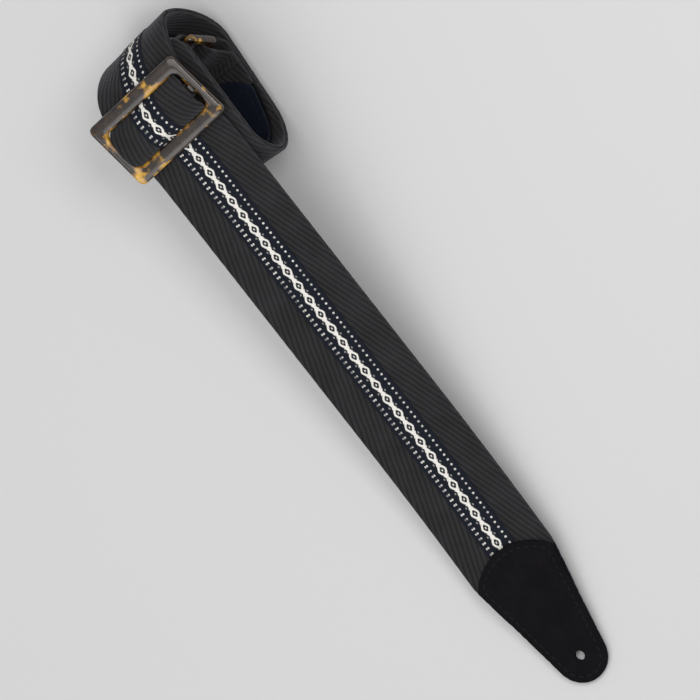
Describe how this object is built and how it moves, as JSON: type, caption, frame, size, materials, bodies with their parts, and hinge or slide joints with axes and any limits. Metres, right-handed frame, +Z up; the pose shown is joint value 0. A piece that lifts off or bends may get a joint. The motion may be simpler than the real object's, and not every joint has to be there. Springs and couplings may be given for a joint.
{
  "type": "guitar strap",
  "caption": "Adjustable two-inch guitar strap with patterned webbing, three-bar slider and leather end tabs, lying with its far half rolled up",
  "frame": {"origin": "centre of the bounding box's footprint, on the surface the strap lies on", "axes": "+X runs along the strap from the roll to the front tab, +Y across it, +Z up"},
  "size_m": [0.3898, 0.0688, 0.0592],
  "materials": {
    "webbing": "black herringbone webbing",
    "ribbon": "navy jacquard ribbon with a white chain pattern",
    "thread": "black sewing thread",
    "tortoiseshell": "polished tortoiseshell plastic, dark brown with amber patches",
    "suede": "black nubuck",
    "lining_leather": "smooth dark navy leather"
  },
  "bodies": {
    "roll": {"main_webbing_run": "webbing", "main_webbing_roll": "webbing", "loop_turn_webbing": "webbing", "return_webbing": "webbing", "tail_webbing": "webbing", "pattern_ribbon_run": "ribbon", "pattern_ribbon_roll": "ribbon", "pattern_ribbon_loop_turn": "ribbon", "pattern_ribbon_return": "ribbon", "pattern_ribbon_tail": "ribbon", "rear_tab_face": "suede", "rear_tab_backing": "lining_leather", "rear_tab_webbing_end": "webbing", "rear_tab_stitching": "thread", "return_fold_stitching": "thread", "tail_fold_stitching": "thread"},
    "slider": {"slider_frame": "tortoiseshell", "slider_end_fold": "webbing", "webbing_crest": "webbing", "pattern_ribbon_crest": "ribbon"},
    "loop": {"rectangular_loop": "tortoiseshell"},
    "front_tab": {"front_tab_face": "suede", "front_tab_backing": "lining_leather", "front_tab_webbing_end": "webbing", "front_tab_stitching": "thread"}
  },
  "joints": [
    {"name": "slider_slide", "type": "slide", "parent": "roll", "child": "slider", "axis": [0.987, 0, -0.1607], "range_m": [0, 0.16]},
    {"name": "loop_pivot", "type": "hinge", "parent": "roll", "child": "loop", "pos_m": [-0.17249, -0.00019, 0.02971], "axis": [-0.1371, 0.9752, 0.1736], "range_deg": [-1.5, 1.5]},
    {"name": "front_tab_flex", "type": "hinge", "parent": "roll", "child": "front_tab", "pos_m": [0.11562, 0, 0.00996], "axis": [0, -1, 0], "range_deg": [0, 60]}
  ]
}
